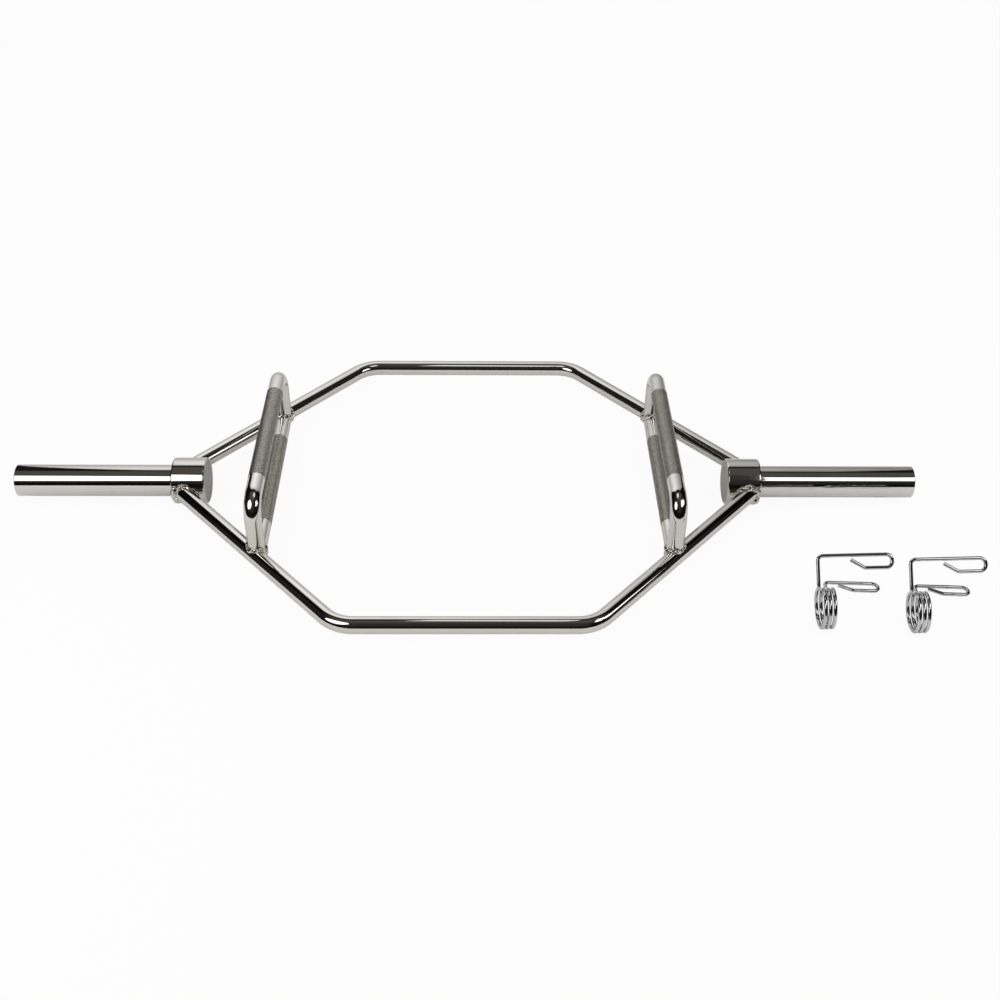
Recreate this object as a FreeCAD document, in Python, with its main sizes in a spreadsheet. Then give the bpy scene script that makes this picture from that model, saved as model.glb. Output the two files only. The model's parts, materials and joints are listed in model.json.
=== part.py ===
import FreeCAD, Part
import math
import os
import Sketcher

# A hex trap bar: two bent bars form a six-sided frame between two hubs, each hub carries a plate sleeve, and each
# side has a low and a raised handle. Two wire spring collars lie beside it. X runs along the sleeves, Y points from
# the front run to the rear run, Z is up, and the origin is on the floor below the middle of the frame.

# Lengths in millimetres, angles in degrees, shares and counts as plain numbers
SIZES = {
    "overall_length": 1422,
    "bar_diameter": 25.4,
    "frame_depth": 660,
    "arm_reach": 260.8,
    "frame_bend_radius": 55,
    "arm_seat_offset": 2.8,
    "arm_end_share": 0.4,
    "hub_diameter": 73,
    "hub_ring_length": 48,
    "hub_cap_thickness": 5,
    "hub_edge_radius": 3,
    "sleeve_diameter": 50,
    "sleeve_wall": 6,
    "sleeve_loading_length": 247,
    "sleeve_edge_radius": 1.5,
    "sleeve_shoulder": 2,
    "spigot_clearance": 0.1,
    "plug_thickness": 8,
    "plug_recess": 1.5,
    "plug_edge_radius": 1,
    "plug_clearance": 0.1,
    "handle_diameter": 25.4,
    "lower_handle_inset": 100,
    "lower_grip_margin": 75,
    "raised_handle_inset": 100,
    "raised_handle_rise": 90,
    "raised_handle_bend_radius": 29,
    "raised_grip_margin": 31.5,
    "post_inset": 10.8,
    "post_seat_share": 0.3,
    "knurl_height": 0.3,
    "wire_diameter": 5.5,
    "coil_inner_diameter": 49.5,
    "coil_gap": 1.2,
    "coil_whole_turns": 3,
    "lever_spread_angle": 55.6,
    "lever_splay_angle": 3.6,
    "wire_bend_radius": 7,
    "fixed_lever_reach": 75.2,
    "fixed_lever_run": 103.6,
    "squeeze_lever_reach": 75.2,
    "squeeze_lever_run": 77.3,
    "loop_width": 18.6,
    "loop_bend_share": 0.45,
    "loop_return": 38.3,
    "tip_run": 19.5,
    "tip_gap": 1,
    "collar_x": 516.9,
    "collar_y": -289.1,
    "collar_spacing": 131.8,
    "collar_stagger": -7.8,
    "collar_yaw_angle": -2.05,
    "collar_rise_angle": 3.6,
    "collar_lean_angle": 42,
}

doc = FreeCAD.newDocument("hex_trap_bar")
sheet = doc.addObject("Spreadsheet::Sheet", "Sizes")
for row, (size_name, number) in enumerate(SIZES.items(), start=1):
    sheet.set(f"A{row}", size_name)
    sheet.set(f"B{row}", str(number))
    sheet.setAlias(f"B{row}", size_name)
doc.recompute()

# Places that several pieces share, as expressions over the sheet
BAR_RADIUS = "(Sizes.bar_diameter / 2)"
HUB_RADIUS = "(Sizes.hub_diameter / 2)"
HALF_LENGTH = "(Sizes.overall_length / 2)"
HALF_DEPTH = "(Sizes.frame_depth / 2)"
HUB_OUTER_FACE = f"({HALF_LENGTH} - Sizes.sleeve_loading_length)"
HUB_SEAM = f"({HUB_OUTER_FACE} - Sizes.hub_ring_length)"
HUB_INNER_FACE = f"({HUB_SEAM} - Sizes.hub_cap_thickness)"
ARM_SEAT = f"({HUB_OUTER_FACE} - Sizes.hub_ring_length / 2 + Sizes.arm_seat_offset)"
HALF_RUN = f"({ARM_SEAT} - Sizes.arm_reach)"
ARM_SLOPE = f"(Sizes.arm_reach / ({HALF_DEPTH} - {HUB_RADIUS}))"
SLEEVE_RADIUS = "(Sizes.sleeve_diameter / 2)"
SLEEVE_BORE_RADIUS = f"({SLEEVE_RADIUS} - Sizes.sleeve_wall)"
SPIGOT_RADIUS = f"({SLEEVE_RADIUS} - Sizes.sleeve_shoulder)"
LOWER_X = f"({HUB_INNER_FACE} - Sizes.lower_handle_inset)"
RAISED_X = f"({HUB_INNER_FACE} - Sizes.raised_handle_inset)"


def arm_distance(x):
    """How far from the sleeve axis, along Y, the centre-line of an arm lies at a given X."""
    return f"({HUB_RADIUS} + ({ARM_SEAT} - {x}) / {ARM_SLOPE})"


LOWER_HALF_LENGTH = arm_distance(LOWER_X)
POST_Y = f"({arm_distance(RAISED_X)} - Sizes.post_inset)"
LOWER_GRIP = f"(2 * ({LOWER_HALF_LENGTH} - Sizes.lower_grip_margin))"
RAISED_GRIP = f"(2 * ({POST_Y} - Sizes.raised_handle_bend_radius - Sizes.raised_grip_margin))"

nodes = {}


def value(expression):
    """The number that an expression over the sheet gives."""
    return float(sheet.evalExpression(expression))


def vector(x, y, z):
    """A point or direction."""
    return FreeCAD.Vector(x, y, z)


X_AXIS = vector(1, 0, 0)
Y_AXIS = vector(0, 1, 0)
Z_AXIS = vector(0, 0, 1)
FULL_TURN = 360
HALF_TURN = 180
QUARTER_TURN = 90


def keep(label, piece):
    """Names a finished sub-part and lists it for export."""
    piece.Label = label
    nodes[label] = piece
    return piece


def origin_plane(body, role):
    """One of the body's own origin planes."""
    return next(plane for plane in body.Origin.OriginFeatures if plane.Role == role)


def new_sketch(body, role):
    """An empty sketch on one of the body's origin planes."""
    sketch = body.newObject("Sketcher::SketchObject", "outline")
    sketch.AttachmentSupport = [(origin_plane(body, role), "")]
    sketch.MapMode = "FlatFace"
    return sketch


def bind(sketch, constraint, expression):
    """Adds a constraint and ties its value to the sheet."""
    index = sketch.addConstraint(constraint)
    sketch.setExpression(f"Constraints[{index}]", expression)


def pin_point(sketch, geometry, position, x, y):
    """Holds a point of the sketch at x and y, given as expressions, from the sketch's origin."""
    if x == "0":
        sketch.addConstraint(Sketcher.Constraint("PointOnObject", geometry, position, -2))
    else:
        bind(sketch, Sketcher.Constraint("DistanceX", -1, 1, geometry, position, value(x)), x)
    if y == "0":
        sketch.addConstraint(Sketcher.Constraint("PointOnObject", geometry, position, -1))
    else:
        bind(sketch, Sketcher.Constraint("DistanceY", -1, 1, geometry, position, value(y)), y)


def rounded_corner(before, corner, after, radius):
    """The arc that rounds a corner: its geometry, its ends in path order and the numbers of those ends."""
    back = (before - corner).normalize()
    ahead = (after - corner).normalize()
    half_angle = back.getAngle(ahead) / 2
    start = corner + back * (radius / math.tan(half_angle))
    end = corner + ahead * (radius / math.tan(half_angle))
    centre = corner + (back + ahead).normalize() * (radius / math.sin(half_angle))
    turns_left = ahead.cross(back).z > 0
    first, last = (start, end) if turns_left else (end, start)
    first_angle = math.atan2(first.y - centre.y, first.x - centre.x)
    last_angle = math.atan2(last.y - centre.y, last.x - centre.x)
    if last_angle < first_angle:
        last_angle += 2 * math.pi
    arc = Part.ArcOfCircle(Part.Circle(centre, Z_AXIS, radius), first_angle, last_angle)
    return arc, start, end, (1, 2) if turns_left else (2, 1)


def draw_path(sketch, corners, closed):
    """Straight runs through the corners, each (x, y) or (x, y, radius) in expressions, rounded where a radius is
    given. A corner is a construction point that is tied to the sheet, and the runs and arcs follow the points."""
    places = [vector(value(corner[0]), value(corner[1]), 0) for corner in corners]
    count = len(corners)
    arcs = {}
    starts = list(places)
    ends = list(places)
    for i, corner in enumerate(corners):
        if len(corner) == 3:
            arc, starts[i], ends[i], order = rounded_corner(
                places[i - 1], places[i], places[(i + 1) % count], value(corner[2])
            )
            arcs[i] = (sketch.addGeometry(arc, False), order)
    runs = []
    for i in range(count if closed else count - 1):
        runs.append(sketch.addGeometry(Part.LineSegment(ends[i], starts[(i + 1) % count]), False))
    for i, corner in enumerate(corners):
        point = sketch.addGeometry(Part.Point(places[i]), True)
        pin_point(sketch, point, 1, corner[0], corner[1])
        incoming = runs[i - 1] if closed or i > 0 else None
        outgoing = runs[i] if closed or i < count - 1 else None
        if i in arcs:
            arc, (arc_start, arc_end) = arcs[i]
            sketch.addConstraint(Sketcher.Constraint("Tangent", incoming, 2, arc, arc_start))
            sketch.addConstraint(Sketcher.Constraint("Tangent", arc, arc_end, outgoing, 1))
            sketch.addConstraint(Sketcher.Constraint("PointOnObject", point, 1, incoming))
            sketch.addConstraint(Sketcher.Constraint("PointOnObject", point, 1, outgoing))
            bind(sketch, Sketcher.Constraint("Radius", arc, value(corner[2])), corner[2])
            continue
        if incoming is not None:
            sketch.addConstraint(Sketcher.Constraint("Coincident", incoming, 2, point, 1))
        if outgoing is not None:
            sketch.addConstraint(Sketcher.Constraint("Coincident", outgoing, 1, point, 1))


def draw_circle(sketch, x, y, diameter):
    """One circle, with its centre and diameter tied to the sheet."""
    circle = Part.Circle(vector(value(x), value(y), 0), Z_AXIS, value(diameter) / 2)
    ring = sketch.addGeometry(circle, False)
    pin_point(sketch, ring, 3, x, y)
    bind(sketch, Sketcher.Constraint("Diameter", ring, value(diameter)), diameter)


def new_body(label):
    """An empty body."""
    body = doc.addObject("PartDesign::Body", label)
    body.Label = label
    return body


def add_feature(body, kind, profile):
    """A feature of the body that is made from a sketch and becomes the body's tip."""
    feature = body.newObject(f"PartDesign::{kind}", kind.lower())
    feature.Profile = profile
    body.Tip = feature
    return feature


def add_round_pipe(body, path_role, corners, profile_role, x, y, diameter):
    """A round bar that is bent along a path and starts on one of the origin planes."""
    path = new_sketch(body, path_role)
    draw_path(path, corners, closed=False)
    section = new_sketch(body, profile_role)
    draw_circle(section, x, y, diameter)
    pipe = add_feature(body, "AdditivePipe", section)
    pipe.Spine = (path, [])
    return pipe


def add_mirror(body, original, role):
    """The other half of a piece that is alike on both sides of an origin plane."""
    mirror = body.newObject("PartDesign::Mirrored", "mirrored")
    mirror.Originals = [original]
    mirror.MirrorPlane = (origin_plane(body, role), [""])
    body.Tip = mirror


def add_round_run(body, kind, role, x, y, diameter, length):
    """A straight round pad or pocket, of equal length on both sides of an origin plane."""
    section = new_sketch(body, role)
    draw_circle(section, x, y, diameter)
    run = add_feature(body, kind, section)
    run.SideType = "Symmetric"
    run.setExpression("Length", length)


def add_turned(body, corners):
    """A piece turned about the sleeve axis, from an outline in X and distance from the axis."""
    sketch = new_sketch(body, "XZ_Plane")
    draw_path(sketch, corners, closed=True)
    turned = add_feature(body, "Revolution", sketch)
    turned.ReferenceAxis = (sketch, ["H_Axis"])
    turned.Angle = FULL_TURN


def seat(piece, half_turned, x="0"):
    """Lifts a piece to the sleeve axis, turned half round for the left or the front one of a pair."""
    piece.Placement = FreeCAD.Placement(vector(0, 0, 0), FreeCAD.Rotation(Z_AXIS, HALF_TURN if half_turned else 0))
    piece.setExpression("Placement.Base.z", HUB_RADIUS)
    piece.setExpression("Placement.Base.x", f"-{x}" if half_turned else x)
    return piece


def boolean(kind, base, tool):
    """A cut or a common part of two pieces."""
    result = doc.addObject(f"Part::{kind}", kind.lower())
    result.Base = base
    result.Tool = tool
    return result


def frame_bar(label, half_turned):
    """A solid bar bent at two corners: one long run and two arms, whose ends are shaped to sit on the hubs."""
    body = new_body(label)
    arm_end_y = f"({HUB_RADIUS} * Sizes.arm_end_share)"
    arm_end_x = f"({ARM_SEAT} + ({HUB_RADIUS} - {arm_end_y}) * {ARM_SLOPE})"
    corners = [
        ("0", HALF_DEPTH),
        (HALF_RUN, HALF_DEPTH, "Sizes.frame_bend_radius"),
        (arm_end_x, arm_end_y),
    ]
    half = add_round_pipe(body, "XY_Plane", corners, "YZ_Plane", HALF_DEPTH, "0", "Sizes.bar_diameter")
    add_mirror(body, half, "YZ_Plane")
    add_round_run(body, "Pocket", "YZ_Plane", "0", "0", "Sizes.hub_diameter", "Sizes.overall_length")
    return keep(label, seat(body, half_turned))


def hub_ring(label, half_turned):
    """A thick ring that takes the sleeve's spigot and that the two arms are welded to."""
    body = new_body(label)
    bore_radius = f"({SPIGOT_RADIUS} + Sizes.spigot_clearance)"
    add_turned(body, [
        (HUB_SEAM, bore_radius),
        (HUB_OUTER_FACE, bore_radius),
        (HUB_OUTER_FACE, HUB_RADIUS, "Sizes.hub_edge_radius"),
        (HUB_SEAM, HUB_RADIUS),
    ])
    return keep(label, seat(body, half_turned))


def hub_cap(label, half_turned):
    """A disc that closes the inner end of the hub, with a rounded rim."""
    body = new_body(label)
    add_turned(body, [
        (HUB_INNER_FACE, "0"),
        (HUB_SEAM, "0"),
        (HUB_SEAM, HUB_RADIUS),
        (HUB_INNER_FACE, HUB_RADIUS, "Sizes.hub_edge_radius"),
    ])
    return keep(label, seat(body, half_turned))


def sleeve(label, half_turned):
    """The hollow tube that holds the plates. Its shoulder sits on the hub, and its spigot reaches the cap."""
    body = new_body(label)
    add_turned(body, [
        (HUB_SEAM, SLEEVE_BORE_RADIUS),
        (HALF_LENGTH, SLEEVE_BORE_RADIUS),
        (HALF_LENGTH, SLEEVE_RADIUS, "Sizes.sleeve_edge_radius"),
        (HUB_OUTER_FACE, SLEEVE_RADIUS),
        (HUB_OUTER_FACE, SPIGOT_RADIUS),
        (HUB_SEAM, SPIGOT_RADIUS),
    ])
    return keep(label, seat(body, half_turned))


def sleeve_plug(label, half_turned):
    """A disc that closes the sleeve's open end, a little way in."""
    body = new_body(label)
    outer_face = f"({HALF_LENGTH} - Sizes.plug_recess)"
    inner_face = f"({outer_face} - Sizes.plug_thickness)"
    radius = f"({SLEEVE_BORE_RADIUS} - Sizes.plug_clearance)"
    add_turned(body, [
        (inner_face, "0"),
        (outer_face, "0"),
        (outer_face, radius, "Sizes.plug_edge_radius"),
        (inner_face, radius),
    ])
    return keep(label, seat(body, half_turned))


def handle_grip(body, height, length):
    """The band of a handle that the knurling raises a little."""
    band_diameter = "(Sizes.handle_diameter + 2 * Sizes.knurl_height)"
    add_round_run(body, "Pad", "XZ_Plane", "0", height, band_diameter, length)


def lower_handle(label, half_turned, frame_bars):
    """A straight bar between the two arms of one side, shaped to sit against them."""
    body = new_body(f"{label}_blank")
    length = f"(2 * {LOWER_HALF_LENGTH})"
    add_round_run(body, "Pad", "XZ_Plane", "0", "0", "Sizes.handle_diameter", length)
    handle_grip(body, "0", LOWER_GRIP)
    piece = seat(body, half_turned, LOWER_X)
    for bar in frame_bars:
        piece = boolean("Cut", piece, bar)
    return keep(label, piece)


def raised_handle(label, half_turned, frame_bars, low_handle):
    """A U of bar above the low handle. Its two posts stand where the low handle meets the arms of one side."""
    body = new_body(f"{label}_blank")
    rise = "Sizes.raised_handle_rise"
    corners = [
        ("0", rise),
        (POST_Y, rise, "Sizes.raised_handle_bend_radius"),
        (POST_Y, f"({BAR_RADIUS} * Sizes.post_seat_share)"),
    ]
    half = add_round_pipe(body, "YZ_Plane", corners, "XZ_Plane", "0", rise, "Sizes.handle_diameter")
    add_mirror(body, half, "XZ_Plane")
    handle_grip(body, rise, RAISED_GRIP)
    piece = seat(body, half_turned, RAISED_X)
    for other in [*frame_bars, low_handle]:
        piece = boolean("Cut", piece, other)
    return keep(label, piece)


def biarc(start, start_way, end, end_way):
    """Two arcs that leave a start point along one direction and reach an end point along another."""
    chord = end - start
    ways = start_way + end_way
    spread = 2 * (1 - start_way.dot(end_way))
    along = chord.dot(ways)
    arm = (math.sqrt(along * along + spread * chord.dot(chord)) - along) / spread
    first_knee = start + start_way * arm
    second_knee = end - end_way * arm
    middle = (first_knee + second_knee) / 2
    middle_way = (second_knee - first_knee).normalize()
    return [
        knee_arc(start, first_knee, middle, start_way.getAngle(middle_way)),
        knee_arc(middle, second_knee, end, middle_way.getAngle(end_way)),
    ]


def knee_arc(start, knee, end, turn):
    """The arc from start to end that is tangent to the two lines to the knee and turns by the given angle."""
    chord_middle = (start + end) / 2
    radius = (knee - start).Length / math.tan(turn / 2)
    bulge = radius * (1 - math.cos(turn / 2))
    return Part.Arc(start, chord_middle + (knee - chord_middle).normalize() * bulge, end).toShape()


WIRE = value("Sizes.wire_diameter")
WIRE_BEND = value("Sizes.wire_bend_radius")
COIL_RADIUS = value("(Sizes.coil_inner_diameter + Sizes.wire_diameter) / 2")
COIL_TURN = FULL_TURN * value("Sizes.coil_whole_turns") + value("Sizes.lever_spread_angle")
COIL_LENGTH = (WIRE + value("Sizes.coil_gap")) * COIL_TURN / FULL_TURN


def outward(angle):
    """The direction away from the coil axis, after the coil has turned by an angle from the fixed lever."""
    return FreeCAD.Rotation(X_AXIS, -angle).multVec(Z_AXIS)


def coil_point(angle):
    """A point on the coil's centre-line, whose axis is X and whose middle is at the origin."""
    return X_AXIS * (COIL_LENGTH * (angle / COIL_TURN - 1 / 2)) + outward(angle) * COIL_RADIUS


def coil_way(angle):
    """The direction in which the wire runs at that point."""
    around = X_AXIS.cross(outward(angle)) * (-COIL_RADIUS * math.radians(COIL_TURN))
    return (around + X_AXIS * COIL_LENGTH).normalize()


def lever_root(angle, way):
    """Where a lever starts: past the bend that turns the wire away from the coil, and a straight as long as the
    wire is thick."""
    return coil_point(angle) + way * WIRE_BEND + outward(angle) * (WIRE_BEND + WIRE)


def coil_end(angle, way):
    """The bend and the straight between the coil and a lever, in the order in which they leave the coil."""
    leave = coil_point(angle)
    knee = leave + way * WIRE_BEND
    bend_end = knee + outward(angle) * WIRE_BEND
    bend = knee_arc(leave, knee, bend_end, math.radians(QUARTER_TURN))
    return [bend, Part.LineSegment(bend_end, lever_root(angle, way)).toShape()]


def least_gap(path):
    """The least gap between two parts of the wire that lie more than half a turn apart along it."""
    turn_length = 2 * math.pi * COIL_RADIUS
    count = math.ceil(path.Length / WIRE) * 2
    points = path.discretize(Number=count)
    apart = math.ceil(turn_length / 2 / path.Length * count)
    pairs = ((points[i] - points[j]).Length for i in range(count) for j in range(i + apart, count))
    return min(pairs) - WIRE


def collar_coil():
    """The wound middle of a collar as one unbroken wire, with its ends bent outwards to the levers."""
    steps = math.ceil(COIL_TURN / QUARTER_TURN)
    angles = [COIL_TURN * i / steps for i in range(steps + 1)]
    edges = list(reversed(coil_end(0, -coil_way(0))))
    for angle, next_angle in zip(angles, angles[1:]):
        edges += biarc(coil_point(angle), coil_way(angle), coil_point(next_angle), coil_way(next_angle))
    edges += coil_end(COIL_TURN, coil_way(COIL_TURN))
    path = Part.Wire(edges)
    section = Part.Wire(Part.makeCircle(WIRE / 2, lever_root(0, -coil_way(0)), outward(0)))
    solid = path.makePipeShell([section], True, False)
    expected = math.pi * WIRE * WIRE / 4 * path.Length
    print(f"coil: least gap to itself {least_gap(path):.3f} mm, volume over expected {solid.Volume / expected:.5f}")
    return solid


def collar_lever(label, reach, run):
    """One lever of a collar: up from the coil, along it, and back in a loop with a kinked tip."""
    body = new_body(label)
    root = "((Sizes.coil_inner_diameter + Sizes.wire_diameter) / 2 + Sizes.wire_bend_radius + Sizes.wire_diameter)"
    height = f"({reach} - {root})"
    low = f"({height} - Sizes.loop_width)"
    tip_height = f"({height} - Sizes.wire_diameter - Sizes.tip_gap)"
    loop_bend = "(Sizes.loop_width * Sizes.loop_bend_share)"
    kink = f"({run} - Sizes.loop_return)"
    corners = [
        ("0", "0"),
        ("0", height, "Sizes.wire_bend_radius"),
        (run, height, loop_bend),
        (run, low, loop_bend),
        (kink, low, "Sizes.wire_bend_radius"),
        (f"({kink} - Sizes.tip_run)", tip_height),
    ]
    add_round_pipe(body, "XZ_Plane", corners, "XY_Plane", "0", "0", "Sizes.wire_diameter")
    return keep(label, body)


def collar(side, x, y):
    """A spring collar that stands on its coil beside the bar: the coil, a fixed lever and a lever to squeeze."""
    yaw = FreeCAD.Rotation(Z_AXIS, value("Sizes.collar_yaw_angle"))
    rise = FreeCAD.Rotation(Y_AXIS, -value("Sizes.collar_rise_angle"))
    lean = FreeCAD.Rotation(X_AXIS, -value("Sizes.collar_lean_angle"))
    attitude = yaw * rise * lean
    lowest = min(attitude.multVec(coil_point(angle)).z for angle in range(math.ceil(COIL_TURN)))
    middle = vector(value(x), value(y), WIRE / 2 - lowest)
    place = FreeCAD.Placement(middle, attitude)
    print(f"{side} collar: middle {tuple(middle)}, coil axis {tuple(attitude.multVec(X_AXIS))}")
    coil = keep(f"{side}_collar_coil", doc.addObject("Part::Feature", f"{side}_collar_coil"))
    coil.Shape = collar_coil()
    coil.Placement = place
    for name, angle, onward in (("fixed", 0, -1), ("squeeze", COIL_TURN, 1)):
        lever = collar_lever(f"{side}_collar_{name}_lever", f"Sizes.{name}_lever_reach", f"Sizes.{name}_lever_run")
        turned = FreeCAD.Rotation(X_AXIS, -angle)
        splayed = FreeCAD.Rotation(Z_AXIS, onward * value("Sizes.lever_splay_angle"))
        root = lever_root(angle, coil_way(angle) * onward)
        lever.Placement = place * FreeCAD.Placement(root, turned * splayed)


def build():
    """Every sub-part, in the order in which they meet."""
    frame_bars = [frame_bar("rear_frame_bar", False), frame_bar("front_frame_bar", True)]
    for side, half_turned in (("right", False), ("left", True)):
        hub_ring(f"{side}_hub", half_turned)
        hub_cap(f"{side}_hub_cap", half_turned)
        sleeve(f"{side}_sleeve", half_turned)
        sleeve_plug(f"{side}_sleeve_plug", half_turned)
        low_handle = lower_handle(f"{side}_lower_handle", half_turned, frame_bars)
        raised_handle(f"{side}_raised_handle", half_turned, frame_bars, low_handle)
    collar("left", "Sizes.collar_x", "Sizes.collar_y")
    collar("right", "(Sizes.collar_x + Sizes.collar_spacing)", "(Sizes.collar_y + Sizes.collar_stagger)")
    doc.recompute()


def check():
    """Stops if any object of the document failed or any sub-part is not a sound solid."""
    for thing in doc.Objects:
        if "Invalid" in thing.State or "Error" in thing.State:
            raise RuntimeError(f"{thing.Label} failed: {thing.State}")
    for label, piece in nodes.items():
        if piece.Shape.isNull() or not piece.Shape.isValid() or not piece.Shape.Solids:
            raise RuntimeError(f"{label} has no sound shape")


def export():
    """One file for each sub-part."""
    os.makedirs("parts", exist_ok=True)
    for label, piece in nodes.items():
        piece.Shape.exportStep(f"parts/{label}.step")
        print(f"{label}: {len(piece.Shape.Solids)} solid, {piece.Shape.Volume:.1f} mm3")


build()
check()
export()
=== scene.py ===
import json
import math

import bpy
import numpy as np
from mathutils import Matrix, Vector


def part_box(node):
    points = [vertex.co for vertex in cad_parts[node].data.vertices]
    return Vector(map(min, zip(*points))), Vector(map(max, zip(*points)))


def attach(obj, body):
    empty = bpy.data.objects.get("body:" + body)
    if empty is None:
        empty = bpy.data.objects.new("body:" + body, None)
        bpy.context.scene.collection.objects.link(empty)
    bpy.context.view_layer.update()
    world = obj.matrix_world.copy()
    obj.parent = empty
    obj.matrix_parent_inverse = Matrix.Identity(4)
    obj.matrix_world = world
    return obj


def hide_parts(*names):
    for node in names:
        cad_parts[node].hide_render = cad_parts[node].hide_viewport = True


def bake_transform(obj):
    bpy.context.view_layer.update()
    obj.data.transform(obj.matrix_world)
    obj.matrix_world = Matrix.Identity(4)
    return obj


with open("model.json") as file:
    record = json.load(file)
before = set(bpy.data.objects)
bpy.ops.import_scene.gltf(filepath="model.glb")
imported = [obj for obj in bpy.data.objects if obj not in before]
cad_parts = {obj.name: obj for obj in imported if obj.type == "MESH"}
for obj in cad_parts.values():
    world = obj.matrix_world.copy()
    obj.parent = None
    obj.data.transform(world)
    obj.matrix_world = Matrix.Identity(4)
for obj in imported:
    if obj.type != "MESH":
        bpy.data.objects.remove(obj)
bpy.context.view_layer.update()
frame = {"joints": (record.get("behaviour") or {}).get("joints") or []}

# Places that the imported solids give
SLEEVE_LOW, SLEEVE_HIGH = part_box("right_sleeve")
HUB_LOW, HUB_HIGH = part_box("right_hub")
LOWER_LOW, LOWER_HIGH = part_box("right_lower_handle")
RAISED_LOW, RAISED_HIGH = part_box("right_raised_handle")
PLUG_LOW, PLUG_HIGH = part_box("right_sleeve_plug")
SLEEVE_END = SLEEVE_HIGH.x
SLEEVE_RADIUS = (SLEEVE_HIGH.z - SLEEVE_LOW.z) / 2
AXIS_HEIGHT = (SLEEVE_HIGH.z + SLEEVE_LOW.z) / 2
HUB_FACE = HUB_HIGH.x
HUB_SEAM = HUB_LOW.x
HUB_RADIUS = (HUB_HIGH.z - HUB_LOW.z) / 2
CAP_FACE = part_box("right_hub_cap")[0].x
LOWER_X = (LOWER_LOW.x + LOWER_HIGH.x) / 2
RAISED_X = (RAISED_LOW.x + RAISED_HIGH.x) / 2

# Sizes of the bars and of their turned pieces
BAR_RADIUS = 0.0127
CORNER_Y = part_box("rear_frame_bar")[1].y - BAR_RADIUS
CORNER_X = 0.182
ARM_SEAT_X = 0.4428
FRAME_BEND = 0.055
HANDLE_BEND = 0.029
HANDLE_RISE = 0.090
POST_INSET = 0.0108
HUB_EDGE = 0.003
SLEEVE_EDGE = 0.0015
SLEEVE_WALL = 0.006
SHOULDER = 0.002
SEAT_CLEARANCE = 0.0001
PLUG_EDGE = 0.001

# The knurled bands: lengths, diamonds round the bar, a diamond's length over its width, points drawn for each
# diamond, and the share of the bar's radius that the end rings have
LOWER_GRIP_HALF = 0.1098
RAISED_GRIP_HALF = 0.1135
KNURL_VALLEY = BAR_RADIUS + 0.00002
KNURL_DEPTH = 0.00028
KNURLS_ROUND = 48
KNURL_STRETCH = 1.73
KNURL_SAMPLES = 4
KNURL_END_SHARE = 0.99

# The weld beads: radii, ripples on a bead, how far these wander, shares of the radius, and random seeds
HUB_BEAD = 0.0048
HANDLE_BEAD = 0.0042
BEAD_RIPPLES = 15
BEAD_WANDER = (0.8, 0.1)
BEAD_BASE = 0.82
BEAD_SWELL = 0.20
BEAD_DRIFT = (0.20, 0.15)
BEAD_LUMPS = (0.12, 0.09)
HUB_BEAD_SEED = 10
HANDLE_BEAD_SEED = 100

# The spring collars, with angles in degrees
WIRE = 0.0055
WIRE_BEND = 0.007
COIL_RADIUS = 0.0275
COIL_PITCH = 0.0067
COIL_TURN = 3 * 360 + 55.6
COLLAR_YAW = -2.05
COLLAR_RISE = 3.6
COLLAR_LEAN = 42.0
LEVER_SPLAY = 3.6
LEVERS = {
    "fixed": {"reach": 0.0752, "run": 0.1036},
    "squeeze": {"reach": 0.0752, "run": 0.0773},
}
LOOP_WIDTH = 0.0186
LOOP_BEND = 0.00837
LOOP_RETURN = 0.0383
TIP_RUN = 0.0195
TIP_GAP = 0.001

# How finely surfaces are drawn
BAR_SIDES = 96
TURNED_SIDES = 160
WIRE_SIDES = 28
BEAD_SIDES = 18
BEAD_ROWS = 360
LEAD_STEPS = 24
ARC_STEP = math.radians(2.5)
SUPPORT = 0.0004
SHARP_ANGLE = math.radians(40)

# The camera of the photograph: its place, its turn in degrees, and its lens on a square picture
CAMERA_PLACE = (0.0164, -1.6737, 1.3315)
CAMERA_PITCH = 38.543
CAMERA_YAW = 1.246
CAMERA_ROLL = 0.879
FOCAL_PIXELS = 1326.1
PICTURE_PIXELS = 1000
SENSOR_WIDTH = 36.0

X_AXIS = np.array([1.0, 0.0, 0.0])
Y_AXIS = np.array([0.0, 1.0, 0.0])
Z_AXIS = np.array([0.0, 0.0, 1.0])


# Shapes

def unit(vectors):
    """Each vector divided by its length."""
    return vectors / np.linalg.norm(vectors, axis=-1, keepdims=True)


def rounded(corners, radii):
    """Points along straight runs through the corners, with an arc at each corner that has a radius. The
    arc's centre lies on the corner's bisector, at the radius over the sine of half the corner's angle,
    and the arc spans the turn from one run to the next in equal steps."""
    corners = np.array(corners, float)
    pieces = []
    for i, radius in enumerate(radii):
        corner = corners[i]
        if not radius:
            pieces.append(corner[None])
            continue
        back = unit(corners[i - 1] - corner)
        ahead = unit(corners[(i + 1) % len(corners)] - corner)
        inward = unit(back + ahead)
        along = unit(ahead - back)
        half = math.acos(float(back @ inward))
        turn = math.pi - 2 * half
        angle = np.linspace(-turn / 2, turn / 2, math.ceil(turn / ARC_STEP) + 1)[:, None]
        centre = corner + inward * radius / math.sin(half)
        pieces.append(centre + radius * (along * np.sin(angle) - inward * np.cos(angle)))
    return np.concatenate(pieces)


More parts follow.
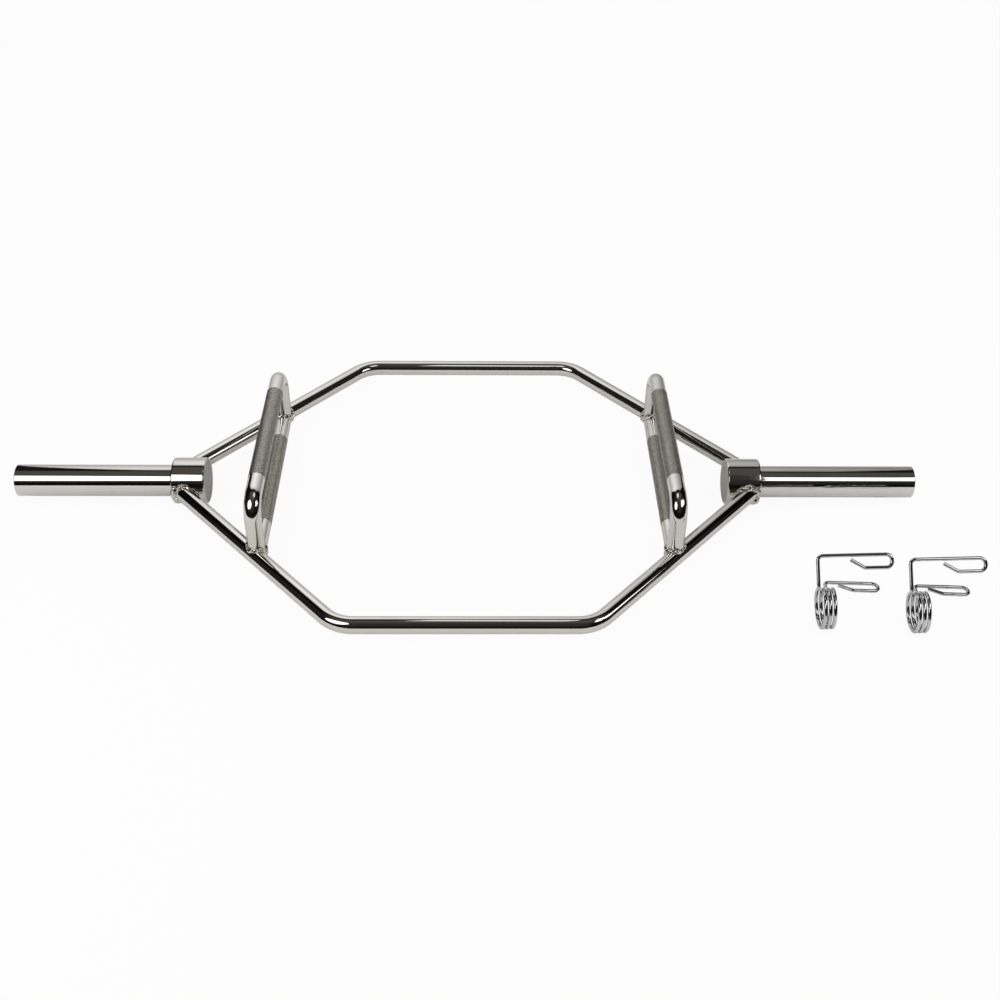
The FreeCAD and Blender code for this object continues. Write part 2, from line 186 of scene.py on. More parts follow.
def supported(path, closed=False):
    """The path with two more points on each long run, just inside its ends, so that smooth shading stays
    straight along the run. The free ends of an open path get none."""
    ends = np.roll(path, -1, axis=0)
    lengths = np.linalg.norm(ends - path, axis=1)
    last = len(path) - 1
    pieces = []
    for i, (start, end, length) in enumerate(zip(path, ends, lengths)):
        pieces.append(start[None])
        if length < 4 * SUPPORT or (i == last and not closed):
            continue
        step = (end - start) * SUPPORT / length
        if closed or i > 0:
            pieces.append((start + step)[None])
        if closed or i < last - 1:
            pieces.append((end - step)[None])
    return np.concatenate(pieces)


def directions(path, closed=False):
    """The direction of travel at each point: half way between the directions of the runs before and after
    it."""
    before = unit(path - np.roll(path, 1, axis=0))
    after = unit(np.roll(path, -1, axis=0) - path)
    if not closed:
        before[0] = after[0]
        after[-1] = before[-1]
    return unit(before + after)


def ring_grid(path, reference, radius, sides, closed=False):
    """A tube's points, one ring for each point of its path: the ring's first axis is the reference
    direction made square to the path, its second axis is square to both, and a ring point is the path
    point plus the radius times the cosine along the first axis and the sine along the second."""
    ways = directions(path, closed)
    reference = np.broadcast_to(reference, path.shape)
    first = unit(reference - np.sum(reference * ways, axis=1, keepdims=True) * ways)
    second = np.cross(ways, first)
    angle = np.linspace(0, 2 * math.pi, sides, endpoint=False)[None, :, None]
    radius = np.broadcast_to(np.asarray(radius, float), (len(path), sides))[:, :, None]
    return path[:, None] + radius * (first[:, None] * np.cos(angle) + second[:, None] * np.sin(angle))


def turned_grid(outline, sides):
    """A turned piece's points: each point of the outline, an X and a distance from the sleeve axis, goes
    round that axis, with the distance times the cosine along Y and times the sine along Z."""
    angle = np.linspace(0, 2 * math.pi, sides, endpoint=False)[None, :]
    along, out = outline[:, :1], outline[:, 1:]
    return np.stack([
        np.broadcast_to(along, (len(outline), sides)),
        out * np.cos(angle),
        AXIS_HEIGHT + out * np.sin(angle),
    ], axis=-1)


def meet_cylinder(points, way, axis_point, axis_way, radius):
    """Points slid along a direction until they lie on a cylinder: with both taken square to the
    cylinder's axis, the slide is the root of smaller size of the quadratic that sets the distance from
    the axis to the radius."""
    offset = points - axis_point
    offset = offset - np.outer(offset @ axis_way, axis_way)
    square_way = way - (way @ axis_way) * axis_way
    a = square_way @ square_way
    b = offset @ square_way
    c = np.sum(offset * offset, axis=1) - radius * radius
    spread = np.sqrt(np.maximum(b * b - a * c, 0))
    near, far = (-b - spread) / a, (-b + spread) / a
    slide = np.where(np.abs(near) < np.abs(far), near, far)
    return points + slide[:, None] * way


def half_turned(points):
    """The same points turned half round about Z, for the left or the front one of a pair."""
    return points * np.array([-1.0, -1.0, 1.0])


def surface(name, grid, wrapped=False, values=None):
    """A mesh from a grid of rings. Ring i and side j make the quad (i, j), (i, j + 1), (i + 1, j + 1), (i
    + 1, j), and the sides close round the ring. A wrapped grid joins its last ring to its first, and any
    other is closed by a flat face at each end. The UV map holds metres along the rings' middle line and
    metres round the first ring."""
    rows, columns = grid.shape[:2]
    row = np.arange(rows if wrapped else rows - 1)[:, None]
    column = np.arange(columns)[None, :]
    after_row, after_column = (row + 1) % rows, (column + 1) % columns
    quads = np.stack([
        row * columns + column,
        row * columns + after_column,
        after_row * columns + after_column,
        after_row * columns + column,
    ], axis=-1).reshape(-1, 4)
    corners, starts = quads.ravel(), np.arange(len(quads)) * 4
    if not wrapped:
        first, last = np.arange(columns)[::-1], (rows - 1) * columns + np.arange(columns)
        starts = np.concatenate([starts, [corners.size, corners.size + columns]])
        corners = np.concatenate([corners, first, last])
    mesh = bpy.data.meshes.new(name)
    mesh.vertices.add(rows * columns)
    mesh.vertices.foreach_set("co", grid.astype(np.float32).ravel())
    mesh.loops.add(corners.size)
    mesh.loops.foreach_set("vertex_index", corners.astype(np.int32))
    mesh.polygons.add(starts.size)
    mesh.polygons.foreach_set("loop_start", starts.astype(np.int32))
    mesh.polygons.foreach_set("use_smooth", np.ones(starts.size, bool))
    closed_grid = np.concatenate([grid, grid[:1]])
    middle = closed_grid.mean(axis=1)
    length = np.concatenate([[0], np.cumsum(np.linalg.norm(np.diff(middle, axis=0), axis=1))])
    round_step = np.linalg.norm(grid[0, 1] - grid[0, 0])
    u = np.stack([length[row], length[row], length[row + 1], length[row + 1]], axis=-1)
    v = np.stack([column, column + 1, column + 1, column], axis=-1) * round_step
    uv = np.zeros((corners.size, 2), np.float32)
    shape = (len(row), columns, 4)
    pair = [np.broadcast_to(u, shape), np.broadcast_to(v, shape)]
    uv[:quads.size] = np.stack(pair, axis=-1).reshape(-1, 2)
    mesh.uv_layers.new(name="surface").data.foreach_set("uv", uv.ravel())
    for attribute, numbers in (values or {}).items():
        layer = mesh.attributes.new(attribute, "FLOAT", "POINT")
        layer.data.foreach_set("value", numbers.astype(np.float32).ravel())
    mesh.update(calc_edges=True)
    mesh.validate()
    mesh.set_sharp_from_angle(angle=SHARP_ANGLE)
    piece = bpy.data.objects.new(name, mesh)
    bpy.context.scene.collection.objects.link(piece)
    return piece


def dress(piece, material, body, slot, *nodes):
    """Gives a piece its finish, the body that it moves with and the solids it stands for. Its slot in the
    record is not used."""
    piece.data.materials.append(material)
    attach(piece, body)
    if nodes:
        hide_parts(*nodes)


# Finishes: noise scales in cycles per metre, depths in metres, and the spans of tint and roughness

CLOUD_SCALE = 14.0
PEEL_SCALE = 120.0
PEEL_DEPTH = 0.001
POLISH_SPAN = (0.12, 0.42)
SCRATCH_STRENGTH = 0.002
SCRATCH_DEPTH = 0.0002
SATIN_GRAIN_SCALE = 900.0
SATIN_GRAIN_STRENGTH = 0.10
SATIN_GRAIN_DEPTH = 0.0003
SATIN_CLOUD_SCALE = 60.0
SATIN_ROUGHNESS = (0.30, 0.46)
# The knurl's tints, painted shade for the grooves and the diamond tops' own tint, and the span of knurl
# height over which the one gives way to the other
KNURL_SHADE_AND_TOP_TINTS = ((0.13, 0.12, 0.104), (0.80, 0.757, 0.69))
KNURL_GROOVE_SHADE_SPAN = (0.5, 1.0)
KNURL_WEAR_SCALE = 430.0
KNURL_WEAR = (0.48, 1.24)
KNURL_GRAIN_SCALE = 700.0
KNURL_ROUGHNESS = (0.34, 0.46)

BAR_TINTS = ((0.66, 0.64, 0.61), (0.74, 0.72, 0.69))
TURNED_TINTS = ((0.67, 0.65, 0.62), (0.75, 0.73, 0.70))
WELD_TINTS = ((0.60, 0.55, 0.48), (0.80, 0.77, 0.72))
WIRE_TINTS = ((0.56, 0.56, 0.565), (0.66, 0.66, 0.665))
PLUG_TINTS = ((0.52, 0.51, 0.49), (0.60, 0.59, 0.57))
CAP_TINTS = ((0.405, 0.378, 0.350), (0.485, 0.455, 0.425))

# How polishing lines are stretched along a piece and round it
LINES_ALONG_BAR = (6.0, 900.0, 1.0)
LINES_ALONG_WIRE = (10.0, 1500.0, 1.0)
LINES_ROUND = (900.0, 3.0, 1.0)
LINES_EVEN = (400.0, 400.0, 1.0)


def add_node(tree, kind, settings=None, links=None, **properties):
    """A node with its properties, its input values and what its inputs are linked to."""
    made = tree.nodes.new(kind)
    for name, setting in properties.items():
        setattr(made, name, setting)
    for name, setting in (settings or {}).items():
        made.inputs[name].default_value = setting
    for name, source in (links or {}).items():
        tree.links.new(source, made.inputs[name])
    return made


def new_material(name):
    """A material with only its surface shader and output, and the shader set to metal."""
    material = bpy.data.materials.new(name)
    material.use_nodes = True
    shader = material.node_tree.nodes["Principled BSDF"]
    shader.inputs["Metallic"].default_value = 1.0
    return material, material.node_tree, shader


def noise(tree, scale, detail, vector):
    """A soft noise, from its scale, its detail and the place that it is read at."""
    settings = {"Scale": scale, "Detail": detail}
    return add_node(tree, "ShaderNodeTexNoise", settings, {"Vector": vector}).outputs["Fac"]


def reckon(tree, operation, settings=None, links=None):
    """The result of one operation on numbers, some of them set and some linked."""
    return add_node(tree, "ShaderNodeMath", settings, links, operation=operation).outputs["Value"]


def bump(tree, strength, depth, links):
    """A bent surface direction, from a height and, where one is linked, a direction that is bent
    already."""
    settings = {"Strength": strength, "Distance": depth}
    return add_node(tree, "ShaderNodeBump", settings, links).outputs["Normal"]


def range_of(tree, source, low, high, from_low=0.3, from_high=0.7):
    """A number that runs from low to high as the source runs over its own range."""
    settings = {"From Min": from_low, "From Max": from_high, "To Min": low, "To Max": high}
    return add_node(tree, "ShaderNodeMapRange", settings, {"Value": source}).outputs["Result"]


def tint_of(tree, source, dark, light):
    """A colour that runs from dark to light as the source runs from 0 to 1."""
    mix = add_node(tree, "ShaderNodeMix", None, {"Factor": source}, data_type="RGBA")
    mix.inputs["A"].default_value = (*dark, 1)
    mix.inputs["B"].default_value = (*light, 1)
    return mix.outputs["Result"]


def polished(name, tints, roughness, line_stretch, ripple):
    """Polished plating. Its tint and polish drift in soft clouds, fine polishing lines follow the piece's
    length or go round it, and a faint ripple of the plating bends the reflections a little."""
    material, tree, shader = new_material(name)
    place = add_node(tree, "ShaderNodeTexCoord")
    clouds = noise(tree, CLOUD_SCALE, 3.0, place.outputs["Object"])
    stretch = add_node(tree, "ShaderNodeMapping", {"Scale": line_stretch}, {"Vector": place.outputs["UV"]})
    lines = noise(tree, 1.0, 4.0, stretch.outputs["Vector"])
    polish = reckon(tree, "MULTIPLY", None, {0: clouds, 1: lines})
    tree.links.new(range_of(tree, polish, *roughness, *POLISH_SPAN), shader.inputs["Roughness"])
    tree.links.new(tint_of(tree, clouds, *tints), shader.inputs["Base Color"])
    peel = noise(tree, PEEL_SCALE, 2.0, place.outputs["Object"])
    wave = bump(tree, ripple, PEEL_DEPTH, {"Height": peel})
    scratch = bump(tree, SCRATCH_STRENGTH, SCRATCH_DEPTH, {"Height": lines, "Normal": wave})
    tree.links.new(scratch, shader.inputs["Normal"])
    return material


def satin(name, tints):
    """Plating over a face that was ground but not polished: fine grain, with a soft sheen."""
    material, tree, shader = new_material(name)
    place = add_node(tree, "ShaderNodeTexCoord")
    grain = noise(tree, SATIN_GRAIN_SCALE, 3.0, place.outputs["Object"])
    clouds = noise(tree, SATIN_CLOUD_SCALE, 4.0, place.outputs["Object"])
    tree.links.new(tint_of(tree, clouds, *tints), shader.inputs["Base Color"])
    tree.links.new(range_of(tree, grain, *SATIN_ROUGHNESS), shader.inputs["Roughness"])
    rough_face = bump(tree, SATIN_GRAIN_STRENGTH, SATIN_GRAIN_DEPTH, {"Height": grain})
    tree.links.new(rough_face, shader.inputs["Normal"])
    return material


def knurled(name):
    """Plated knurling: a light tint on the tops of the diamonds and painted shade down in the grooves, with
    specks of wear.
    """
    material, tree, shader = new_material(name)
    place = add_node(tree, "ShaderNodeTexCoord")
    height = add_node(tree, "ShaderNodeAttribute", attribute_name="knurl_height").outputs["Fac"]
    # Painted shade in the grooves, lightening to the tops' tint as the knurl rises, then multiplied by specks
    # of wear
    tint = tint_of(tree, range_of(tree, height, 0.0, 1.0, *KNURL_GROOVE_SHADE_SPAN), *KNURL_SHADE_AND_TOP_TINTS)
    shade = range_of(tree, noise(tree, KNURL_WEAR_SCALE, 1.0, place.outputs["Object"]), *KNURL_WEAR)
    worn_and_groove_shaded = add_node(tree, "ShaderNodeVectorMath", None, {0: tint, 1: shade}, operation="MULTIPLY")
    tree.links.new(worn_and_groove_shaded.outputs["Vector"], shader.inputs["Base Color"])
    grain = noise(tree, KNURL_GRAIN_SCALE, 2.0, place.outputs["Object"])
    tree.links.new(range_of(tree, grain, *KNURL_ROUGHNESS), shader.inputs["Roughness"])
    return material


BAR_CHROME = polished("bar_chrome", BAR_TINTS, (0.03, 0.09), LINES_ALONG_BAR, 0.001)
HANDLE_CHROME = polished("handle_chrome", BAR_TINTS, (0.04, 0.12), LINES_ALONG_BAR, 0.002)
SLEEVE_CHROME = polished("sleeve_chrome", TURNED_TINTS, (0.02, 0.07), LINES_ROUND, 0.001)
HUB_CHROME = polished("hub_chrome", TURNED_TINTS, (0.03, 0.08), LINES_ROUND, 0.002)
PLUG_CHROME = satin("plug_chrome", PLUG_TINTS)
CAP_SATIN = satin("cap_satin", CAP_TINTS)
KNURL_CHROME = knurled("knurl_chrome")
WELD_CHROME = polished("weld_chrome", WELD_TINTS, (0.08, 0.22), LINES_EVEN, 0.08)
WIRE_CHROME = polished("wire_chrome", WIRE_TINTS, (0.03, 0.09), LINES_ALONG_WIRE, 0.004)


# Frame bars

ARM_WAY = unit(np.array([CORNER_X - ARM_SEAT_X, CORNER_Y - HUB_RADIUS, 0.0]))
ARM_POINT = np.array([ARM_SEAT_X, HUB_RADIUS, AXIS_HEIGHT])


def frame_bar_grid():
    """The rear bar: a round section carried along two arms and a run with an arc at each corner. Its end
    rings slide along the arms until they lie on the hubs."""
    corners = [
        ARM_POINT * (-1, 1, 1),
        (-CORNER_X, CORNER_Y, AXIS_HEIGHT),
        (CORNER_X, CORNER_Y, AXIS_HEIGHT),
        ARM_POINT,
    ]
    path = supported(rounded(corners, (0, FRAME_BEND, FRAME_BEND, 0)))
    grid = ring_grid(path, Z_AXIS, BAR_RADIUS, BAR_SIDES)
    hub_axis = np.array([0, 0, AXIS_HEIGHT])
    grid[0] = meet_cylinder(grid[0], ARM_WAY * (-1, 1, 1), hub_axis, X_AXIS, HUB_RADIUS)
    grid[-1] = meet_cylinder(grid[-1], ARM_WAY, hub_axis, X_AXIS, HUB_RADIUS)
    return grid


# Handles

def arm_y(x):
    """How far along Y an arm's middle line lies at a given X."""
    return HUB_RADIUS + (ARM_SEAT_X - x) * ARM_WAY[1] / -ARM_WAY[0]


def lower_handle_grid():
    """The right low handle: a straight round bar whose end rings slide along it until they lie on the two
    arms."""
    end = arm_y(LOWER_X) - BAR_RADIUS / abs(ARM_WAY[0])
    path = np.array([(LOWER_X, end, AXIS_HEIGHT), (LOWER_X, -end, AXIS_HEIGHT)])
    grid = ring_grid(path, Z_AXIS, BAR_RADIUS, BAR_SIDES)
    grid[0] = meet_cylinder(grid[0], Y_AXIS, ARM_POINT, ARM_WAY, BAR_RADIUS)
    grid[-1] = meet_cylinder(grid[-1], Y_AXIS, ARM_POINT * (1, -1, 1), ARM_WAY * (1, -1, 1), BAR_RADIUS)
    return grid


def seat_height(points):
    """How high the bars lie under the foot of a post: the root of the bar radius squared less the squared
    distance from the middle line of the arm or, on the arm's inner side, of the low handle where that is
    nearer."""
    from_arm = (np.abs(points[:, 1]) - arm_y(points[:, 0])) * -ARM_WAY[0]
    from_low = np.where(from_arm < 0, np.abs(points[:, 0] - LOWER_X), BAR_RADIUS)
    away = np.minimum(np.abs(from_arm), from_low)
    return AXIS_HEIGHT + np.sqrt(np.maximum(BAR_RADIUS ** 2 - away ** 2, 0))


def raised_handle_grid():
    """The right raised handle: a round bar up from the rear arm, over two bends and down to the front
    arm. Its end rings drop to the bars under the posts."""
    foot, top = AXIS_HEIGHT + BAR_RADIUS, AXIS_HEIGHT + HANDLE_RISE
    post = arm_y(RAISED_X) - POST_INSET
    corners = [
        (RAISED_X, post, foot),
        (RAISED_X, post, top),
        (RAISED_X, -post, top),
        (RAISED_X, -post, foot),
    ]
    path = supported(rounded(corners, (0, HANDLE_BEND, HANDLE_BEND, 0)))
    grid = ring_grid(path, X_AXIS, BAR_RADIUS, BAR_SIDES)
    for end in (0, -1):
        grid[end, :, 2] = seat_height(grid[end])
    return grid


def triangle_wave(phase):
    """0 at whole numbers, 1 half way between them, and straight in between."""
    return 1 - np.abs(2 * (phase % 1) - 1)


def knurl_grid(x, half_length, z):
    """A knurled band on the right side, and how high each point stands in its knurl: the smaller of two
    triangle waves, one along each of the two slanting directions, doubled and cut off at 1. That gives
    diamonds with flat tops and straight grooves between them. The two end rings drop to the bare bar."""
    pitch = 2 * math.pi * BAR_RADIUS / KNURLS_ROUND * KNURL_STRETCH
    rows = 2 * round(half_length / pitch * KNURL_SAMPLES)
    columns = KNURLS_ROUND * KNURL_SAMPLES
    along = np.linspace(half_length, -half_length, rows + 1)
    along_phase = (np.arange(rows + 1) / KNURL_SAMPLES)[:, None]
    round_phase = (np.arange(columns) / KNURL_SAMPLES)[None, :]
    slanted = np.minimum(triangle_wave(along_phase + round_phase), triangle_wave(along_phase - round_phase))
    height = np.minimum(2 * slanted, 1)
    height[0] = 0
    height[-1] = 0
    radius = KNURL_VALLEY + KNURL_DEPTH * height
    radius[0] = BAR_RADIUS * KNURL_END_SHARE
    radius[-1] = BAR_RADIUS * KNURL_END_SHARE
    path = np.stack([np.full(rows + 1, x), along, np.full(rows + 1, z)], axis=1)
    return ring_grid(path, Z_AXIS, radius, columns), height


# Turned pieces

def outline(corners):
    """An outline in X and distance from the sleeve axis, rounded where a corner has a radius."""
    points = [corner[:2] for corner in corners]
    radii = [corner[2] if len(corner) > 2 else 0 for corner in corners]
    return supported(rounded(points, radii), closed=True)


def hub_grid():
    """The right hub: a thick ring with a rounded outer edge."""
    bore = SLEEVE_RADIUS - SHOULDER + SEAT_CLEARANCE
    corners = [
        (HUB_SEAM, bore), (HUB_SEAM, HUB_RADIUS), (HUB_FACE, HUB_RADIUS, HUB_EDGE), (HUB_FACE, bore),
    ]
    return turned_grid(outline(corners), TURNED_SIDES)


def cap_grid():
    """The right hub's cap: a disc with a rounded rim. The first ring bounds its flat face."""
    rim = [(CAP_FACE, 0), (CAP_FACE, HUB_RADIUS), (HUB_SEAM, HUB_RADIUS)]
    points = rounded(rim, (0, HUB_EDGE, 0))
    points[0] = (CAP_FACE, HUB_RADIUS - HUB_EDGE - SUPPORT)
    return turned_grid(points, TURNED_SIDES)


def sleeve_grid():
    """The right sleeve: a tube with a rounded end, a shoulder on the hub and a spigot inside it."""
    bore = SLEEVE_RADIUS - SLEEVE_WALL
    spigot = SLEEVE_RADIUS - SHOULDER
    corners = [
        (HUB_SEAM, bore), (HUB_SEAM, spigot), (HUB_FACE, spigot), (HUB_FACE, SLEEVE_RADIUS),
        (SLEEVE_END, SLEEVE_RADIUS, SLEEVE_EDGE), (SLEEVE_END, bore, SLEEVE_EDGE / 3),
    ]
    return turned_grid(outline(corners), TURNED_SIDES)


def plug_grid():
    """The right sleeve's plug: a disc with a rounded outer edge. The last ring bounds its flat face."""
    radius = SLEEVE_RADIUS - SLEEVE_WALL - SEAT_CLEARANCE
    rim = [(PLUG_LOW.x, radius), (PLUG_HIGH.x, radius), (PLUG_HIGH.x, 0)]
    points = rounded(rim, (0, PLUG_EDGE, 0))
    points[-1] = (PLUG_HIGH.x, radius - PLUG_EDGE - SUPPORT)
    return turned_grid(points, TURNED_SIDES)


# Weld beads: the direction that their rings start from is one that no seam runs along

BEAD_UP = Z_AXIS + 0.3 * X_AXIS


def bead_grid(seam, radius, seed):
    """A lumpy bead round a seam: a closed tube along the seam whose radius swells in a row of overlapping
    ripples, each a half circle, and drifts slowly along the seam and round the bead."""
    chance = np.random.default_rng(seed)
    shift = chance.uniform(0, 2 * math.pi, 6)
    place = np.linspace(0, 1, len(seam) + 1)
    wanted = np.linspace(0, 1, BEAD_ROWS, endpoint=False)
    closed = np.concatenate([seam, seam[:1]])
    path = np.stack([np.interp(wanted, place, closed[:, i]) for i in range(3)], axis=1)
    along = 2 * math.pi * wanted[:, None]
    across = np.linspace(0, 2 * math.pi, BEAD_SIDES, endpoint=False)[None, :]
    beat = BEAD_RIPPLES * wanted[:, None] + BEAD_WANDER[0] * np.sin(3 * along + shift[0])
    beat = (beat + BEAD_WANDER[1] * np.sin(across + shift[1])) % 1
    ripple = np.sqrt(np.maximum(1 - (2 * beat - 1) ** 2, 0))
    drift = BEAD_DRIFT[0] * np.sin(2 * along + shift[2]) + BEAD_DRIFT[1] * np.sin(5 * along + shift[3])
    wide, narrow = 2 * across + 7 * along + shift[4], 3 * across - 11 * along + shift[5]
    lumps = BEAD_LUMPS[0] * np.sin(wide) + BEAD_LUMPS[1] * np.sin(narrow)
    uneven = radius * (BEAD_BASE + BEAD_SWELL * ripple + drift + lumps)
    return ring_grid(path, BEAD_UP, uneven, BEAD_SIDES, closed=True)


# Spring collars

def turn_about(axis, angle):
    """The matrix that turns by an angle in degrees about an axis."""
    return np.array(Matrix.Rotation(math.radians(angle), 3, axis))


COLLAR_TURN = turn_about("Z", COLLAR_YAW) @ turn_about("Y", -COLLAR_RISE) @ turn_about("X", -COLLAR_LEAN)
COIL_LENGTH = COIL_PITCH * COIL_TURN / 360


def outward(angle):
    """The direction away from the coil axis after the coil has turned by an angle in radians: its sine
    along Y and its cosine along Z."""
    angle = np.asarray(angle, float)
    return np.stack([np.zeros_like(angle), np.sin(angle), np.cos(angle)], axis=-1)


def coil_points(angle):
    """The coil's middle line: the coil radius along the outward direction, and a steady climb along X."""
    climb = COIL_LENGTH * (angle / math.radians(COIL_TURN) - 0.5)
    return outward(angle) * COIL_RADIUS + climb[..., None] * X_AXIS


def coil_way(angle):
    """The direction of the wire in the coil, from the helix's own slope."""
    around = np.stack([np.zeros_like(angle), np.cos(angle), -np.sin(angle)], axis=-1)
    return unit(around * COIL_RADIUS * math.radians(COIL_TURN) + COIL_LENGTH * X_AXIS)


def lever_lead(angle, sign):
    """From the coil out to a lever: a quarter arc that turns the wire outwards, then a straight one wire
    long."""
    out, way = outward(angle), sign * coil_way(np.asarray(angle))
    sweep = np.linspace(0, math.pi / 2, LEAD_STEPS)[:, None]
    bend = coil_points(np.asarray(angle)) + WIRE_BEND * (way * np.sin(sweep) + out * (1 - np.cos(sweep)))
    return np.concatenate([bend, bend[-1:] + out * WIRE])


def coil_grid():
    """The wound middle of a collar: a round wire along the lead from the fixed lever, the helix and the
    other lead."""
    full = math.radians(COIL_TURN)
    helix = coil_points(np.linspace(0, full, math.ceil(full / ARC_STEP) + 1))
    path = np.concatenate([lever_lead(0.0, -1)[:0:-1], helix, lever_lead(full, 1)[1:]])
    return ring_grid(path, X_AXIS, WIRE / 2, WIRE_SIDES)


def lever_grid(name):
    """A lever: a round wire up from the coil's lead, along the coil's axis, and back in a loop with a
    kinked tip. The run leaves the coil's axis by a small angle round the coil, so that the two levers
    stand further apart at their loops."""
    angle, sign = (0.0, -1) if name == "fixed" else (math.radians(COIL_TURN), 1)
    root = lever_lead(angle, sign)[-1]
    run = LEVERS[name]["run"]
    top = LEVERS[name]["reach"] - COIL_RADIUS - WIRE_BEND - WIRE
    low = top - LOOP_WIDTH
    kink = run - LOOP_RETURN
    flat = [(0, 0), (0, top), (run, top), (run, low), (kink, low), (kink - TIP_RUN, top - WIRE - TIP_GAP)]
    path = supported(rounded(flat, (0, WIRE_BEND, LOOP_BEND, LOOP_BEND, WIRE_BEND, 0)))
    out = outward(angle)
    splay = math.radians(sign * LEVER_SPLAY)
    along = math.cos(splay) * X_AXIS + math.sin(splay) * np.cross(out, X_AXIS)
    points = root + path[:, :1] * along + path[:, 1:] * out
    return ring_grid(points, np.cross(along, out), WIRE / 2, WIRE_SIDES)


# Assembly

def build_frame():
    """The two bent bars, and a bead where each of their arms meets a hub."""
    grid = frame_bar_grid()
    for order, (name, turn) in enumerate((("rear", np.asarray), ("front", half_turned))):
        placed = turn(grid)
        node = f"{name}_frame_bar"
        dress(surface(f"{name}_bent_bar", placed), BAR_CHROME, "bar", "bar_chrome", node)
        for end in (0, -1):
            side = "left" if placed[end, 0, 0] < 0 else "right"
            bead = bead_grid(placed[end], HUB_BEAD, HUB_BEAD_SEED + 2 * order + end)
            dress(surface(f"{side}_{name}_hub_weld", bead, wrapped=True), WELD_CHROME, "bar", "bar_chrome")


def build_side(side, turn):
    """The hub, sleeve and handles of one side, and the beads at the handles' ends."""
    ring = surface(f"{side}_hub_ring", turn(hub_grid()), wrapped=True)
    dress(ring, HUB_CHROME, "bar", "hub_chrome", f"{side}_hub")
    cap = surface(f"{side}_hub_disc", turn(cap_grid()))
    dress(cap, HUB_CHROME, "bar", "hub_chrome", f"{side}_hub_cap")
    cap.data.materials.append(CAP_SATIN)
    cap.data.polygons[-2].material_index = 1
    tube = surface(f"{side}_plate_sleeve", turn(sleeve_grid()), wrapped=True)
    dress(tube, SLEEVE_CHROME, "bar", "sleeve_chrome", f"{side}_sleeve")
    plug = surface(f"{side}_end_plug", turn(plug_grid()))
    dress(plug, PLUG_CHROME, "bar", "plug_chrome", f"{side}_sleeve_plug")
    bars = {
        "lower": (lower_handle_grid(), LOWER_X, LOWER_GRIP_HALF, AXIS_HEIGHT),
        "raised": (raised_handle_grid(), RAISED_X, RAISED_GRIP_HALF, AXIS_HEIGHT + HANDLE_RISE),
    }
    for name, (grid, x, half_length, z) in bars.items():
        placed = turn(grid)
        bar = surface(f"{side}_{name}_bar", placed)
        dress(bar, HANDLE_CHROME, "bar", "handle_chrome", f"{side}_{name}_handle")
        knurl, height = knurl_grid(x, half_length, z)
        grip = surface(f"{side}_{name}_grip", turn(knurl), values={"knurl_height": height})
        dress(grip, KNURL_CHROME, "bar", "handle_chrome")
        for end, place in ((0, "first"), (-1, "last")):
            seed = HANDLE_BEAD_SEED + 10 * len(side) + 3 * len(name) + end
            bead = bead_grid(placed[end], HANDLE_BEAD, seed)
            weld = surface(f"{side}_{name}_{place}_weld", bead, wrapped=True)
            dress(weld, WELD_CHROME, "bar", "handle_chrome")


def build_collar(side):
    """A collar: its coil stays in place round the coil's axis and rides no body, and each lever rides its
    own."""
    joint = next(joint for joint in frame["joints"] if joint["name"] == f"{side}_collar_squeeze")
    middle = np.array(joint["pos_m"])

    def place(points):
        """Points round the coil's middle, turned as the collar lies and moved to its place."""
        return middle + points @ COLLAR_TURN.T

    coil = surface(f"{side}_collar_spring", place(coil_grid()))
    coil.data.materials.append(WIRE_CHROME)
    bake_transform(coil)
    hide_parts(f"{side}_collar_coil")
    for name, body in (("fixed", f"{side}_collar"), ("squeeze", f"{side}_collar_lever")):
        wire = surface(f"{side}_collar_{name}_wire", place(lever_grid(name)))
        dress(wire, WIRE_CHROME, body, "spring_wire", f"{side}_collar_{name}_lever")


# Studio: the backdrop's edges and its place, the paper's front edge and its height over the floor, the
# floor's half width and colour, the share of the floor's glow that the camera sees, and its even light

BACKDROP_LEFT, BACKDROP_RIGHT = -1.05, 1.15
BACKDROP_BACK = 1.0
BACKDROP_TOP = 1.93
BACKDROP_GLOW = (0.33, 1.25)
PAPER_FRONT = -1.6
PAPER_LIFT = 0.001
FLOOR_HALF = 30.0
FLOOR_COLOUR = (0.84, 0.835, 0.825, 1)
FLOOR_GLOW_SHARE = 0.93
EVEN_LIGHT = 0.69
WHITE = (1, 1, 1, 1)


def bare_material(name):
    """A material with no nodes, and its node tree."""
    material = bpy.data.materials.new(name)
    material.use_nodes = True
    material.node_tree.nodes.clear()
    return material, material.node_tree


def floor_material():
    """A pale matt floor. The camera sees it nearly white, with a soft trace of the object's shadow."""
    material, tree = bare_material("studio_floor")
    path = add_node(tree, "ShaderNodeLightPath")
    matt = add_node(tree, "ShaderNodeBsdfDiffuse", {"Color": FLOOR_COLOUR})
    glow = add_node(tree, "ShaderNodeEmission", {"Color": WHITE, "Strength": 1.0})
    share = reckon(tree, "MULTIPLY", {1: FLOOR_GLOW_SHARE}, {0: path.outputs["Is Camera Ray"]})
    mix = add_node(tree, "ShaderNodeMixShader", None, {0: share})
    tree.links.new(matt.outputs["BSDF"], mix.inputs[1])
    tree.links.new(glow.outputs["Emission"], mix.inputs[2])
    add_node(tree, "ShaderNodeOutputMaterial", None, {"Surface": mix.outputs["Shader"]})
    return material


def stage_card(name, corners, material):
    """A flat four-cornered piece of the studio, which is not part of the object."""
    mesh = bpy.data.meshes.new(name)
    mesh.from_pydata(corners, [], [(0, 1, 2, 3)])
    card = bpy.data.objects.new(name, mesh)
    bpy.context.scene.collection.objects.link(card)
    card.data.materials.append(material)
    return card


def show_to_metal_only(card):
    """Hides a card from all but reflections, so that it blocks no other view and throws no shadow."""
    card.visible_camera = card.visible_diffuse = card.visible_shadow = False


